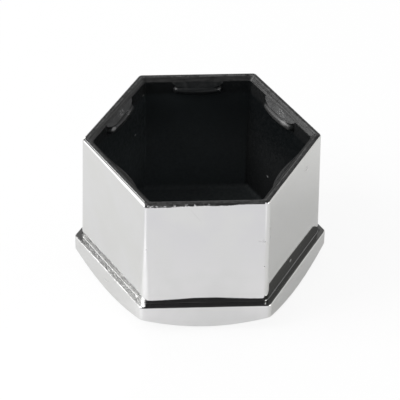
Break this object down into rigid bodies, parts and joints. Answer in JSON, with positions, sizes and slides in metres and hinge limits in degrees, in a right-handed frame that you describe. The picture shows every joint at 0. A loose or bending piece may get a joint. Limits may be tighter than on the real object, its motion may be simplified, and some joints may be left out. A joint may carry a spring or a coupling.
{
  "type": "wheel nut cover cap",
  "caption": "Hexagonal press-on cover cap for a wheel bolt or nut head: chrome-plated skirt and flange with a chamfered crown, and an open black pocket with retaining beads at its mouth.",
  "frame": {"origin": "centre of the flat crown, on the axis of the hexagon", "axes": "+Z along the axis of the hexagon, out of the open mouth; +X through a corner of the hexagon, so that two flats face along Y"},
  "size_m": [0.0236, 0.0206, 0.0146],
  "materials": {
    "plating": "bright chrome plating outside, bare black plastic on the rim and inside"
  },
  "bodies": {
    "root": {"cap": "plating"}
  },
  "joints": []
}
